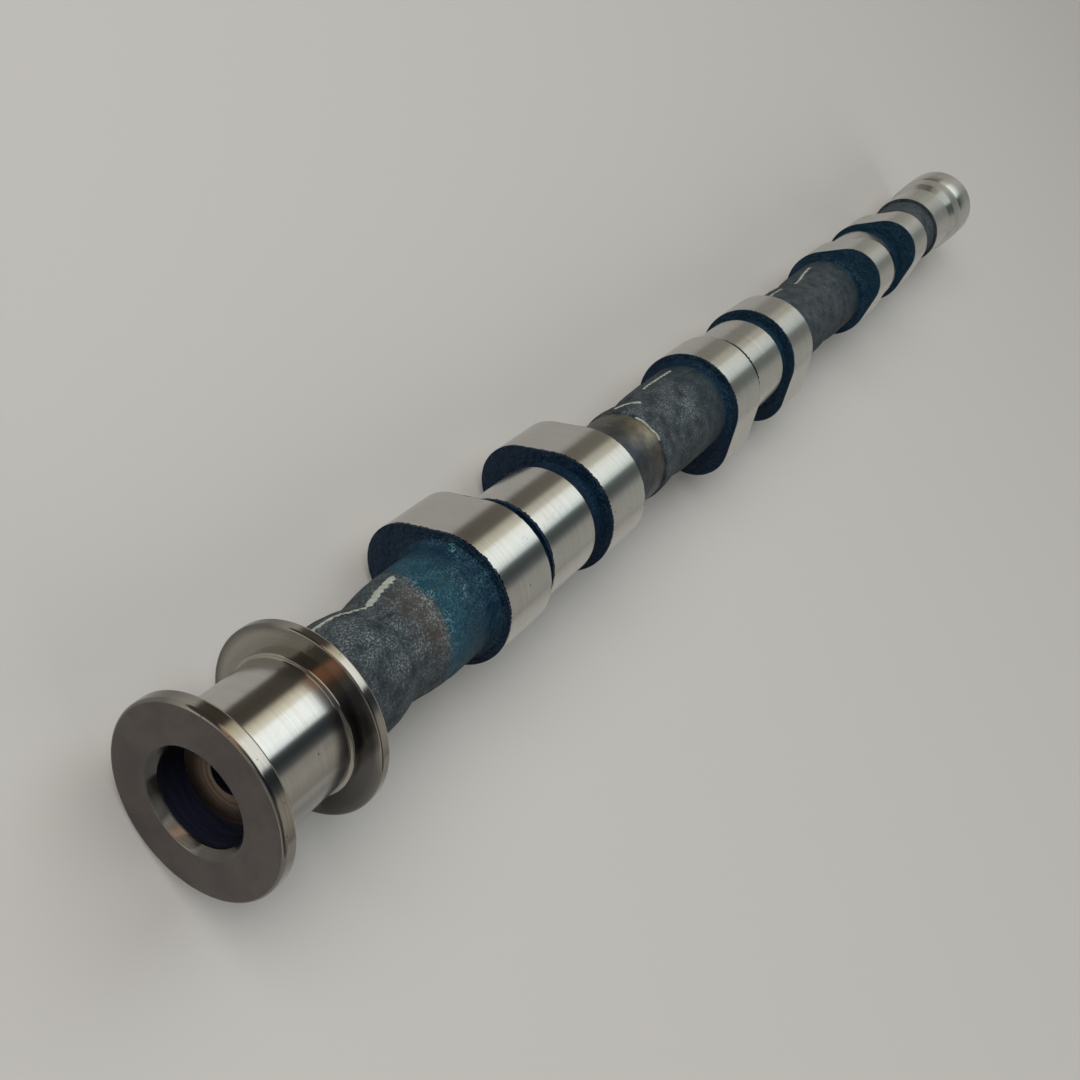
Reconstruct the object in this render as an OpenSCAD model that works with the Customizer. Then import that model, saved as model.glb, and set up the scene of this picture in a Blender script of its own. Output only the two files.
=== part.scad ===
// Overhead camshaft for a bank of three cylinders, two cams to a cylinder, cast in one piece.
// The shaft lies along +X with its nose face at x = 0. Every section is true: round where it
// was turned or ground, and a base circle, two straight flanks and a nose arc on each cam.

/* [Bearings] */
// Diameter of the ground bearing journals
journal_d = 24; // [22.5:0.5:25]
// Width of each inner bearing journal
journal_w = 17; // [14:0.5:20]
// Distance from one cylinder to the next
cylinder_pitch = 106; // [100:1:128]
// Nose face to the middle of the first inner bearing
first_bearing_x = 91; // [88:1:110]

/* [Cams] */
// Diameter of the base circle
base_d = 27; // [26:0.5:30]
// Lift of the nose above the base circle
cam_lift = 5.2; // [4:0.1:6.5]
// Angle from the nose to the point where a flank leaves the base circle
flank_angle = 66; // [60:1:70]
// Width of each cam
cam_w = 15; // [12:0.5:18]
// Gap between a journal and the cam in front of it
front_gap = 3.1; // [2.5:0.1:4]
// Gap between a journal and the cam behind it
rear_gap = 4.6; // [3:0.1:6]
// Angle from one cylinder's cams to the next cylinder's
cam_step = 120; // [90:30:180]
// Angle of the last pair's noses from the horizontal, as the shaft lies
rest_roll = 86; // [75:1:95]

/* [Nose] */
// Diameter of the nose flange
flange_d = 33.4; // [30:0.2:38]
// Thickness of the nose flange
flange_t = 2.9; // [2.4:0.1:4]
// Length of the thrust journal between the two flanges
thrust_gap = 19.3; // [16:0.1:22]
// Diameter of the thrust collar behind it
collar_d = 33.8; // [30:0.2:38]
// Thickness of the thrust collar
collar_t = 2; // [1.6:0.1:3]
// Diameter of the counterbore in the nose
counterbore_d = 16.6; // [14:0.2:18]
// Depth of the counterbore
counterbore_depth = 6.3; // [5:0.1:9]
// Diameter of the cored thread in the bottom of the counterbore
thread_core_d = 6.8; // [5:0.1:8.5]
// Depth of the cored thread below the counterbore
thread_depth = 24; // [16:1:34]

/* [Necks] */
// Diameter of the cast necks between the cams
neck_d = 22; // [18:0.5:24]
// Depth of the waist of the first neck
first_waist_depth = 1.5; // [0.8:0.1:2.5]
// Depth of the waists of the other necks
waist_depth = 0.85; // [0.4:0.05:2]
// Length of the turned band behind the second cam
band_len = 16.5; // [10:0.5:20]
// Depth to which the band is turned below the casting
band_step = 0.4; // [0.2:0.05:0.8]

/* [Tail] */
// Length of the neck behind the last cam
tail_neck = 33.5; // [24:0.5:40]
// Length of the tail journal, up to its raised end
tail_journal = 17.5; // [14:0.5:24]
// Height of the raised tail end above the journal
tail_rise = 1.4; // [0.8:0.1:2.5]
// Length of the raised tail end
tail_len = 24; // [18:0.5:30]

/* [Hidden] */

journal_r = journal_d / 2;
base_r = base_d / 2;
neck_r = neck_d / 2;
bearings = [for (i = [0:2]) first_bearing_x + i * cylinder_pitch];
front_cam = -(journal_w / 2 + front_gap + cam_w);
rear_cam = journal_w / 2 + rear_gap;

// The nose arc's middle and radius, from the lift and the tangent flanks
nose_offset = cam_lift / (1 - cos(flank_angle));
nose_r = base_r + cam_lift - nose_offset;

collar_x = flange_t + thrust_gap;
neck_start = collar_x + collar_t;
last_cam_end = bearings[2] + rear_cam + cam_w;
tail_x = last_cam_end + tail_neck;
raise_x = tail_x + tail_journal;
groove_x = raise_x + 4.5;
shaft_end = groove_x + tail_len;

web_d = min(neck_d - 0.4, journal_d - 1.6);
flange_chamfer = 0.35;
journal_chamfer = 0.3;
relief_w = 1.5;
relief_h = 0.6;
mouth_chamfer = 1.1;
mouth_depth = 1.4;
floor_drop = 0.8;
drill_tip_r = 0.3;
front_fillet = 1.8;
rear_fillet = 1.2;
tail_groove = 0.3;
tail_groove_w = 8.5;
tail_chamfer = 0.8;
embed = 1;
seam = 0.02;
flank_sink = 0.01;

$fn = 128;

// Turns a drawing so that its x is +Y, its y is +Z and its height runs along the shaft
module along_shaft(x) {
    translate([x, 0, 0]) rotate([90, 0, 90]) children();
}

// Spins a half profile, whose points are [radius, x], round the shaft's axis
module spun() {
    along_shaft(0) rotate_extrude() children();
}

// A turned length with the same chamfer at both ends
module turned(x0, x1, d, chamfer) {
    r = d / 2;
    spun() polygon([
        [0, x0],
        [r - chamfer, x0],
        [r, x0 + chamfer],
        [r, x1 - chamfer],
        [r - chamfer, x1],
        [0, x1]
    ]);
}

// A plain core that runs on into the larger lengths at both its ends
module core(x0, x1, d) {
    along_shaft(x0) cylinder(h = x1 - x0, d = d);
}

// Where a flank touches a circle of radius r whose middle is offset towards the nose
function touch(offset, r, side) =
    [offset + r * cos(flank_angle), side * r * sin(flank_angle)];

// Outline of a cam with its nose on +x: base circle, two straight flanks, nose arc.
// A flank lies a hundredth of a millimetre inside both circles, so that it crosses them.
module cam_outline() {
    circle(r = base_r);
    translate([nose_offset, 0]) circle(r = nose_r);
    polygon([
        touch(0, base_r - flank_sink, 1),
        touch(0, base_r - flank_sink, -1),
        touch(nose_offset, nose_r - flank_sink, -1),
        touch(nose_offset, nose_r - flank_sink, 1)
    ]);
}

module cam(x, angle) {
    along_shaft(x) rotate(angle) linear_extrude(cam_w) cam_outline();
}

// Half profile of a plain length
module plain(x0, x1, r) {
    translate([0, x0]) square([r, x1 - x0]);
}

// Half profile of a bowed length: neck_r at peak_x, lower by depth at waist_x
module bow(peak_x, waist_x, depth) {
    run = waist_x - peak_x;
    bow_r = (run * run + depth * depth) / (2 * depth);
    intersection() {
        translate([neck_r - bow_r, peak_x]) circle(r = bow_r, $fn = 360);
        plain(min(peak_x, waist_x - seam), max(peak_x, waist_x + seam), neck_r);
    }
}

// Half profile of the small cast fillet between a neck of radius r and a face, which it meets
// at a slight angle. The neck is behind the face where side is 1, in front of it where it is -1.
module fillet(face_x, r, size, side) {
    middle_x = face_x + side * 0.9 * size;
    inside_x = face_x - side * embed;
    difference() {
        plain(min(middle_x, inside_x), max(middle_x, inside_x), r + size);
        translate([r + size, middle_x]) circle(r = size);
    }
}

// Cast neck: two bowed lengths that meet at a waist
module neck(x0, x1, front_peak, waist_x, depth, rear_peak) {
    plain(x0 - embed, front_peak, neck_r);
    bow(front_peak, waist_x, depth);
    bow(rear_peak, waist_x, depth);
    plain(rear_peak, x1 + embed, neck_r);
    fillet(x0, neck_r, rear_fillet, 1);
}

module first_neck() {
    x1 = bearings[0] + front_cam;
    run = x1 - neck_start;
    spun() {
        neck(neck_start, x1, neck_start + 0.24 * run, neck_start + 0.45 * run,
            first_waist_depth, neck_start + 0.76 * run);
        fillet(x1, neck_r, front_fillet, -1);
    }
}

// The second neck begins with a turned band that ends at a small shoulder
module banded_neck() {
    x0 = bearings[0] + rear_cam + cam_w;
    x1 = bearings[1] + front_cam;
    band_end = x0 + band_len;
    waist_x = (x0 + x1) / 2;
    rear_peak = 2 * waist_x - band_end;
    spun() {
        plain(x0 - embed, band_end + seam, neck_r - band_step);
        fillet(x0, neck_r - band_step, rear_fillet, 1);
        bow(band_end, waist_x, waist_depth);
        bow(rear_peak, waist_x, waist_depth);
        plain(rear_peak, x1 + embed, neck_r);
        fillet(x1, neck_r, front_fillet, -1);
    }
}

module third_neck() {
    x0 = bearings[1] + rear_cam + cam_w;
    x1 = bearings[2] + front_cam;
    run = x1 - x0;
    spun() {
        neck(x0, x1, x0 + 0.28 * run, x0 + 0.51 * run, waist_depth, x0 + 0.72 * run);
        fillet(x1, neck_r, front_fillet, -1);
    }
}

module last_neck() {
    run = tail_neck;
    spun() neck(last_cam_end, tail_x, last_cam_end + run / 4, last_cam_end + run / 2,
        waist_depth, tail_x - run / 4);
}

// Nose flange, thrust journal with its relief ring, and thrust collar
module nose() {
    turned(0, flange_t, flange_d, flange_chamfer);
    core(flange_t / 2, collar_x + collar_t / 2, journal_d);
    turned(collar_x - relief_w, collar_x + collar_t / 2, journal_d + 2 * relief_h, journal_chamfer);
    turned(collar_x, neck_start, collar_d, flange_chamfer);
}

// Mouth, counterbore, its shallow floor and the cored thread with its drill point
module nose_bore() {
    r = counterbore_d / 2;
    core_r = thread_core_d / 2;
    floor_x = counterbore_depth + floor_drop;
    thread_end = floor_x + thread_depth;
    spun() polygon([
        [0, -embed],
        [r + mouth_chamfer, -embed],
        [r + mouth_chamfer, 0],
        [r, mouth_depth],
        [r, counterbore_depth],
        [core_r, floor_x],
        [core_r, thread_end],
        [drill_tip_r, thread_end + (core_r - drill_tip_r) / tan(59)],
        [0, thread_end + (core_r - drill_tip_r) / tan(59)]
    ]);
}

// One inner bearing: its journal, the web beneath it and the two cams beside it
module bearing_group(x, angle) {
    core(x + front_cam + cam_w / 2, x + rear_cam + cam_w / 2, web_d);
    turned(x - journal_w / 2, x + journal_w / 2, journal_d, journal_chamfer);
    cam(x + front_cam, angle);
    cam(x + rear_cam, angle);
}

// Tail journal, the rise to its raised end, the shallow groove and the end chamfer
module tail() {
    r = journal_r + tail_rise;
    groove_end = groove_x + tail_groove_w;
    spun() polygon([
        [0, tail_x],
        [journal_r - journal_chamfer, tail_x],
        [journal_r, tail_x + journal_chamfer],
        [journal_r, raise_x],
        [r - tail_groove, groove_x],
        [r - tail_groove, groove_end],
        [r, groove_end + tail_groove],
        [r, shaft_end - tail_chamfer],
        [r - tail_chamfer, shaft_end],
        [0, shaft_end]
    ]);
}

module camshaft() {
    color("slategray") difference() {
        union() {
            nose();
            first_neck();
            banded_neck();
            third_neck();
            last_neck();
            tail();
            for (i = [0:2]) bearing_group(bearings[i], rest_roll + (2 - i) * cam_step);
        }
        nose_bore();
    }
}

camshaft();
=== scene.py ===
import math

import bmesh
import bpy
from mathutils import Euler, Matrix, Vector, noise


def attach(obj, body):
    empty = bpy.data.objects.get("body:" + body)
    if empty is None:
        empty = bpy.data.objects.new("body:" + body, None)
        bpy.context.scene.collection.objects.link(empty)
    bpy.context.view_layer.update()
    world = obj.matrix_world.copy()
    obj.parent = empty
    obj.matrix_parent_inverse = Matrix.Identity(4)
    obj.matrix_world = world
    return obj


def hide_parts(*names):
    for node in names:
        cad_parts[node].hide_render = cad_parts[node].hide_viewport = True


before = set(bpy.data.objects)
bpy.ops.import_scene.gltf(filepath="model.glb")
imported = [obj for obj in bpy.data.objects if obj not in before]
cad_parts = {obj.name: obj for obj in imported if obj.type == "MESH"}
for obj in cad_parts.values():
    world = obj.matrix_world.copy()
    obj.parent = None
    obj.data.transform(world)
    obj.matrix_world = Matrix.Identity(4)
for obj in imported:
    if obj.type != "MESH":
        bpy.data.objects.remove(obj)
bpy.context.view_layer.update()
print("frame loaded")

# The shaft lies along +X with its nose face at x = 0. Angles run from +Y towards +Z, in degrees.
# Lengths in the dictionaries are millimetres.
mm = 0.001


def paint(hexColour):
    digits = hexColour.lstrip("#")
    values = [int(digits[i:i + 2], 16) / 255 for i in (0, 2, 4)]
    return [v / 12.92 if v <= 0.04045 else ((v + 0.055) / 1.055) ** 2.4 for v in values] + [1.0]


# Adds a node. An input may be a value, a socket, or a node, whose first output in use is taken.
def addNode(tree, kind, inputs=None, stops=None, **settings):
    node = tree.nodes.new("ShaderNode" + kind)
    for name, value in settings.items():
        setattr(node, name, value)
    for name, value in (inputs or {}).items():
        if isinstance(value, bpy.types.Node):
            value = next(output for output in value.outputs if output.enabled)
        if isinstance(value, bpy.types.NodeSocket):
            tree.links.new(value, node.inputs[name])
        else:
            node.inputs[name].default_value = value
    for i, (place, colour) in enumerate(stops or []):
        stop = node.color_ramp.elements[i] if i < 2 else node.color_ramp.elements.new(place)
        stop.position = place
        stop.color = paint(colour) if isinstance(colour, str) else (colour, colour, colour, 1.0)
    return node


def newMaterial(name):
    made = bpy.data.materials.new(name)
    made.use_nodes = True
    made.node_tree.nodes.clear()
    return made, made.node_tree


# A material's noises. Each has the size of its grain along the shaft and across it, its detail and its
# roughness.
def noisePatterns(tree, place, patterns):
    made = {}
    for name, (along, across, detail, rough) in patterns.items():
        scale = [1 / (size * mm) for size in (along, across, across)]
        drawn = addNode(tree, "Mapping", {"Vector": place, "Scale": scale})
        made[name] = addNode(tree, "TexNoise", {"Vector": drawn, "Scale": 1.0, "Detail": detail,
                                                "Roughness": rough})
    return made


# Lines left by a cutting tool, round the shaft on every turned surface, faces and cones too
def toolLines(tree, place, spacing, length, detail=1.5):
    parts = addNode(tree, "SeparateXYZ", {"Vector": place})
    flat = addNode(tree, "CombineXYZ", {"Y": parts.outputs["Y"], "Z": parts.outputs["Z"]})
    radius = addNode(tree, "VectorMath", {0: flat}, operation="LENGTH")
    turned = addNode(tree, "CombineXYZ", {"X": parts.outputs["X"], "Y": radius})
    fine = addNode(tree, "VectorMath", {0: turned, "Scale": 1 / (spacing * mm)}, operation="SCALE")
    drift = addNode(tree, "VectorMath", {0: flat, "Scale": 1 / (length * mm)}, operation="SCALE")
    both = addNode(tree, "VectorMath", {0: fine, 1: drift}, operation="ADD")
    return addNode(tree, "TexNoise", {"Vector": both, "Scale": 1.0, "Detail": detail, "Roughness": 0.6})


# Ends a metal's material. Its tangent runs round the shaft's axis and is given a quarter turn, so that
# highlights stretch along the shaft.
def endMetal(tree, look, colour, rough, height):
    bump = addNode(tree, "Bump", {"Height": height, "Strength": look["bump"], "Distance": look["depth"] * mm})
    tangent = addNode(tree, "Tangent", direction_type="RADIAL", axis="X")
    shader = addNode(tree, "BsdfPrincipled", {
        "Base Color": colour, "Metallic": look["metal"], "Roughness": rough, "Anisotropic": look["aniso"],
        "Anisotropic Rotation": 0.25, "Tangent": tangent, "Normal": bump})
    addNode(tree, "OutputMaterial", {"Surface": shader})


groundLook = {"dark": "#bcbab5", "light": "#c4c3bf", "stain": "#a59f95", "pinhole": "#55504a", "oil_and_shade": "#35363a",
              "torn": "#0d1822", "pinholeGap": 3.4, "rough": (0.185, 0.205), "metal": 1.0, "aniso": 0.72,
              "bump": 0.4, "depth": 0.0025,
              "patterns": {"line": (0.28, 26, 2.5, 0.65), "cloud": (7, 9, 3.0, 0.55),
                           "smear": (5, 3.2, 4.0, 0.6), "tooth": (0.45, 0.45, 1.0, 0.55)}}


# Chilled cast iron, cylindrically ground: bright, with fine lines round the shaft that smear a lamp
# into a band. Grit marks are near 0.02 mm and are drawn 0.28 mm wide, so that they show.
def groundIron():
    look = groundLook
    made, tree = newMaterial("Ground chilled iron")
    place = addNode(tree, "TexCoord").outputs["Object"]
    patterns = noisePatterns(tree, place, look["patterns"])
    lines = patterns["line"]
    shade = addNode(tree, "Math", {0: lines, 1: 0.75}, operation="MULTIPLY")
    shade = addNode(tree, "Math", {0: patterns["cloud"], 1: 0.25, 2: shade}, operation="MULTIPLY_ADD")
    colour = addNode(tree, "ValToRGB", {"Fac": shade}, [(0.36, look["dark"]), (0.62, look["light"])])
    # faint oily stains where hands and cloths have been
    smear = addNode(tree, "ValToRGB", {"Fac": patterns["smear"]}, [(0.6, 0.0), (0.78, 0.4)])
    # a few pinholes of the iron, 0.3 mm across
    cells = addNode(tree, "TexVoronoi", {"Vector": place, "Scale": 1 / (look["pinholeGap"] * mm)})
    pits = addNode(tree, "ValToRGB", {"Fac": cells}, [(0.035, 1.0), (0.06, 0.0)])
    # old oil in the tail's groove, and painted shade on the thrust journal away from its top and on the top of the
    # tail's rise, where the film attribute says so
    oil_film_and_shade = addNode(tree, "Attribute", attribute_name="oil_film_and_shade").outputs["Fac"]
    # the dye's torn edge, which reaches a little way on to the ground track
    dyeDepth = addNode(tree, "Attribute", attribute_name="dye").outputs["Fac"]
    torn = addNode(tree, "Math", {0: patterns["tooth"], 1: 1.3, 2: dyeDepth}, operation="MULTIPLY_ADD")
    torn = addNode(tree, "MapRange", {"Value": torn, "From Min": 1.22, "From Max": 1.28})
    for share, name in ((smear, "stain"), (pits, "pinhole"), (oil_film_and_shade, "oil_and_shade"), (torn, "torn")):
        colour = addNode(tree, "Mix", {"Factor": share, "A": colour, "B": paint(look[name])},
                         data_type="RGBA")
    low, high = look["rough"]
    rough = addNode(tree, "MapRange", {"Value": shade, "From Min": 0.35, "From Max": 0.65,
                                       "To Min": high, "To Max": low})
    endMetal(tree, look, colour, rough, lines)
    return made


turnedLook = {"dark": "#a6a198", "light": "#b1ada5", "pit": "#4a4038", "oil_and_shade": "#3c3d40", "line": (0.22, 14),
              "pitGap": 1.9, "rough": (0.15, 0.18), "metal": 1.0, "aniso": 0.7, "bump": 0.5, "depth": 0.0018,
              "patterns": {"grain": (0.5, 0.3, 3.0, 0.55)}}
seatLook = {"dark": "#5e5048", "light": "#75675c", "pit": "#2b2522", "oil_and_shade": "#1c1e2c", "line": (0.3, 6),
            "pitGap": 1.9, "rough": (0.26, 0.36), "metal": 1.0, "aniso": 0.6, "bump": 0.5, "depth": 0.012,
            "patterns": {"grain": (0.5, 0.3, 3.0, 0.55)}}


# Iron turned to size and left: slightly browner than the ground tracks, with coarser tool lines. The
# drill cone in the bore has stayed in the dry and is browned. Tool lines of about 0.1 mm are drawn
# twice as wide, so that they show.
def turnedIron(title, look):
    made, tree = newMaterial(title)
    place = addNode(tree, "TexCoord").outputs["Object"]
    lines = toolLines(tree, place, *look["line"])
    colour = addNode(tree, "ValToRGB", {"Fac": lines}, [(0.34, look["dark"]), (0.64, look["light"])])
    specks = addNode(tree, "TexVoronoi", {"Vector": place, "Scale": 1 / (look["pitGap"] * mm)})
    pits = addNode(tree, "ValToRGB", {"Fac": specks}, [(0.05, 0.75), (0.1, 0.0)])
    # painted shade, where the film attribute says so: the lower part of the rims, a sector of the collar's face and
    # the mouth's edges are darkened
    oil_film_and_shade = addNode(tree, "Attribute", attribute_name="oil_film_and_shade").outputs["Fac"]
    for share, name in ((pits, "pit"), (oil_film_and_shade, "oil_and_shade")):
        colour = addNode(tree, "Mix", {"Factor": share, "A": colour, "B": paint(look[name])},
                         data_type="RGBA")
    low, high = look["rough"]
    rough = addNode(tree, "MapRange", {"Value": lines, "From Min": 0.3, "From Max": 0.7,
                                       "To Min": high, "To Max": low})
    grain = noisePatterns(tree, place, look["patterns"])["grain"]
    height = addNode(tree, "Math", {0: grain, 1: 0.6, 2: lines}, operation="MULTIPLY_ADD")
    endMetal(tree, look, colour, rough, height)
    return made


noseLook = {"dark": "#48423f", "light": "#504a46", "mottle": "#3f3a3d", "line": (0.35, 9), "rough": (0.42, 0.5),
            "metal": 0.3, "aniso": 0.3, "bump": 0.5, "depth": 0.03,
            "patterns": {"cloud": (6, 6, 4.0, 0.6), "grain": (0.45, 0.45, 3.0, 0.55)}}


# Nose face: turned and matt, painted a dark warm grey as painted shade, standing for the dark surroundings that it
# reflects
def dullFace():
    look = noseLook
    made, tree = newMaterial("Turned nose face, painted dark")
    place = addNode(tree, "TexCoord").outputs["Object"]
    patterns = noisePatterns(tree, place, look["patterns"])
    cloud, grain = patterns["cloud"], patterns["grain"]
    colour = addNode(tree, "ValToRGB", {"Fac": cloud}, [(0.38, look["dark"]), (0.6, look["light"])])
    speckle = addNode(tree, "ValToRGB", {"Fac": grain}, [(0.36, 0.35), (0.48, 0.0)])
    colour = addNode(tree, "Mix", {"Factor": speckle, "A": colour, "B": paint(look["mottle"])},
                     data_type="RGBA")
    lines = toolLines(tree, place, *look["line"])
    height = addNode(tree, "Math", {0: lines, 1: grain}, operation="ADD")
    low, high = look["rough"]
    rough = addNode(tree, "MapRange", {"Value": cloud, "From Min": 0.3, "From Max": 0.7,
                                       "To Min": high, "To Max": low})
    endMetal(tree, look, colour, rough, height)
    return made


boreLook = {"dark": "#171a26", "light": "#242737", "line": (0.3, 7), "rough": 0.32, "metal": 0.3, "aniso": 0.5,
            "bump": 0.5, "depth": 0.02}


# Counterbore wall and threaded hole: turned iron painted dark blue, as painted shade of the deep bore, with faint drag
# lines
def shadedBore():
    look = boreLook
    made, tree = newMaterial("Bored iron, painted dark")
    place = addNode(tree, "TexCoord").outputs["Object"]
    lines = toolLines(tree, place, *look["line"])
    colour = addNode(tree, "ValToRGB", {"Fac": lines}, [(0.4, look["dark"]), (0.75, look["light"])])
    endMetal(tree, look, colour, look["rough"], lines)
    return made


# dye runs from its thin edge, 0, to where it is thickest, 1
# the tip colours are painted highlights, laid on the grain tips
castLook = {"slate": ("#1f262b", "#2e373d", "#383b3d"), "highlightTip": "#8b9898", "dyedHighlightTip": "#78aeb8", "oil_and_shade": "#483f39",
            "dye": ((0.0, "#084858"), (0.28, "#083848"), (0.45, "#0d2c3a"), (0.7, "#0c293b"), (1.0, "#041b2f")),
            "wiped": "#17262f", "wipedFrom": (70, 100), "flash": ("#7b817b", "#aeb3a8"), "strokes": (4600, 2900, 0),
            "rough": (0.36, 0.27), "edgeRough": 0.45, "specular": 0.25, "depth": 0.46,
            "patterns": {"grain": (0.6, 0.6, 3.0, 0.6), "lump": (3.2, 3.2, 3.0, 0.55), "run": (1.4, 1.4, 3.0, 0.55),
                         "highlightTip": (0.372, 0.372, 2.0, 0.7), "hatch": (0.7, 1.2, 3.0, 0.55)}}


# Sand-cast iron skin: slate grey and pebbly, with grains of sand size. Blue layout dye lies on it near
# the cams, thin and teal at its edge, thick and navy on the cams' sides. The parting flash is ground
# pale and bright.
def castSkin():
    look = castLook
    made, tree = newMaterial("Cast iron skin")
    place = addNode(tree, "TexCoord").outputs["Object"]
    patterns = noisePatterns(tree, place, look["patterns"])
    grain, lumps, runs = patterns["grain"], patterns["lump"], patterns["run"]
    dark, middle, pale = look["slate"]
    tone = addNode(tree, "Math", {0: lumps, 1: 0.4}, operation="MULTIPLY")
    tone = addNode(tree, "Math", {0: grain, 1: 0.6, 2: tone}, operation="MULTIPLY_ADD")
    slate = addNode(tree, "ValToRGB", {"Fac": tone}, [(0.4, dark), (0.52, middle), (0.64, pale)])

    # the dye's depth, with ragged runs at its edge
    dyeDepth = addNode(tree, "Attribute", attribute_name="dye").outputs["Fac"]
    ragged = addNode(tree, "Math", {0: runs, 1: 0.5}, operation="SUBTRACT")
    reach = addNode(tree, "MapRange", {"Value": dyeDepth, "From Max": 0.12, "To Max": 0.7})
    dyeDepth = addNode(tree, "Math", {0: ragged, 1: reach, 2: dyeDepth}, operation="MULTIPLY_ADD")
    dyeColour = addNode(tree, "ValToRGB", {"Fac": dyeDepth}, look["dye"])
    dyed = addNode(tree, "MapRange", {"Value": dyeDepth, "From Min": 0.06, "From Max": 0.26})
    colour = addNode(tree, "Mix", {"Factor": dyed, "A": slate, "B": dyeColour}, data_type="RGBA")

    # old oil browns the first neck in front of its dye; further back it has a little dye wiped into it
    oil_film_and_shade = addNode(tree, "Attribute", attribute_name="oil_film_and_shade").outputs["Fac"]
    parts = addNode(tree, "SeparateXYZ", {"Vector": place})
    start, full = look["wipedFrom"]
    back = addNode(tree, "MapRange", {"Value": parts.outputs["X"], "From Min": start * mm,
                                      "From Max": full * mm})
    oil_and_shade = addNode(tree, "Mix", {"Factor": back, "A": paint(look["oil_and_shade"]), "B": paint(look["wiped"])},
                  data_type="RGBA")
    colour = addNode(tree, "Mix", {"Factor": oil_film_and_shade, "A": colour, "B": oil_and_shade}, data_type="RGBA")

    # painted highlight: tips of the grain made bright on the upper side, where the light falls, and in painted glint
    # spots
    wear_and_highlight = addNode(tree, "Attribute", attribute_name="wear_and_highlight").outputs["Fac"]
    tips = addNode(tree, "MapRange", {"Value": patterns["highlightTip"], "From Min": 0.47, "From Max": 0.74})
    patches = addNode(tree, "MapRange", {"Value": lumps, "From Min": 0.34, "From Max": 0.6})
    tips = addNode(tree, "Math", {0: tips, 1: patches}, operation="MULTIPLY")
    tips = addNode(tree, "Math", {0: tips, 1: wear_and_highlight}, operation="MULTIPLY")
    bright = addNode(tree, "Mix", {"Factor": dyed, "A": paint(look["highlightTip"]), "B": paint(look["dyedHighlightTip"])},
                     data_type="RGBA")
    colour = addNode(tree, "Mix", {"Factor": tips, "A": colour, "B": bright}, data_type="RGBA")

    # scratches of the wheel that dressed the flash run across it, one in about 1.2 mm
    flash = addNode(tree, "Attribute", attribute_name="flash").outputs["Fac"]
    slant = addNode(tree, "VectorMath", {0: place, 1: look["strokes"]}, operation="DOT_PRODUCT")
    strokes = addNode(tree, "Math", {0: slant}, operation="SINE")
    hatch = addNode(tree, "Math", {0: strokes, 1: 0.11, 2: patterns["hatch"]}, operation="MULTIPLY_ADD")
    torn = addNode(tree, "Math", {0: hatch, 1: 0.8, 2: flash}, operation="MULTIPLY_ADD")
    bare = addNode(tree, "MapRange", {"Value": torn, "From Min": 0.8, "From Max": 0.95})
    shade, bright = look["flash"]
    iron = addNode(tree, "Mix", {"Factor": hatch, "A": paint(shade), "B": paint(bright)}, data_type="RGBA")
    colour = addNode(tree, "Mix", {"Factor": bare, "A": colour, "B": iron}, data_type="RGBA")

    # pebbles, shallower where the skin is smooth, and the soft swell of thick dye
    smooth = addNode(tree, "Attribute", attribute_name="smoothness").outputs["Fac"]
    depth = addNode(tree, "MapRange", {"Value": smooth, "To Min": 1.0, "To Max": 0.3})
    height = addNode(tree, "Math", {0: grain, 1: depth}, operation="MULTIPLY")
    swell = addNode(tree, "Math", {0: runs, 1: dyed}, operation="MULTIPLY")
    height = addNode(tree, "Math", {0: swell, 1: 1.6, 2: height}, operation="MULTIPLY_ADD")
    bump = addNode(tree, "Bump", {"Height": height, "Strength": 1.0, "Distance": look["depth"] * mm})
    # the dye dries glossier than bare skin; both are dull where they are seen along the surface
    bareRough, dyedRough = look["rough"]
    rough = addNode(tree, "MapRange", {"Value": dyed, "To Min": bareRough, "To Max": dyedRough})
    edge = addNode(tree, "LayerWeight", {"Blend": 0.5}).outputs["Facing"]
    rough = addNode(tree, "Math", {0: edge, 1: look["edgeRough"], 2: rough}, operation="MULTIPLY_ADD")
    shader = addNode(tree, "BsdfPrincipled", {
        "Base Color": colour, "Roughness": rough, "Specular IOR Level": look["specular"], "Normal": bump})
    addNode(tree, "OutputMaterial", {"Surface": shader})
    return made


bandLook = {"gold": "#857f6a", "brown": "#595754", "blue": "#3c454d", "line": (0.5, 5), "rough": (0.38, 0.48),
            "metal": 0.8, "aniso": 0.4, "bump": 0.7, "depth": 0.05,
            "patterns": {"cloud": (2.8, 2.8, 4.0, 0.55), "grain": (0.8, 1.6, 3.0, 0.55)}}


# Rough-turned band: a first cut through the skin, browned and stained, golden on top and blue underneath: wear, with
# painted highlight on top and painted shade underneath
def turnedBand():
    look = bandLook
    made, tree = newMaterial("Rough-turned band")
    place = addNode(tree, "TexCoord").outputs["Object"]
    lines = toolLines(tree, place, *look["line"], detail=3.0)
    # wear with painted highlight, most on top; low values give the blue underneath as painted shade
    wear_and_highlight = addNode(tree, "Attribute", attribute_name="wear_and_highlight").outputs["Fac"]
    patterns = noisePatterns(tree, place, look["patterns"])
    cloud = addNode(tree, "Math", {0: patterns["cloud"], 1: 0.5}, operation="SUBTRACT")
    wear = addNode(tree, "Math", {0: lines, 1: 0.5}, operation="SUBTRACT")
    wear = addNode(tree, "Math", {0: wear, 1: 0.5, 2: wear_and_highlight}, operation="MULTIPLY_ADD")
    wear = addNode(tree, "Math", {0: cloud, 1: 1.2, 2: wear}, operation="MULTIPLY_ADD")
    colour = addNode(tree, "ValToRGB", {"Fac": wear},
                     [(0.05, look["blue"]), (0.45, look["brown"]), (0.95, look["gold"])])
    height = addNode(tree, "Math", {0: lines, 1: patterns["grain"]}, operation="ADD")
    low, high = look["rough"]
    rough = addNode(tree, "MapRange", {"Value": wear, "To Min": high, "To Max": low})
    endMetal(tree, look, colour, rough, height)
    return made


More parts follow.
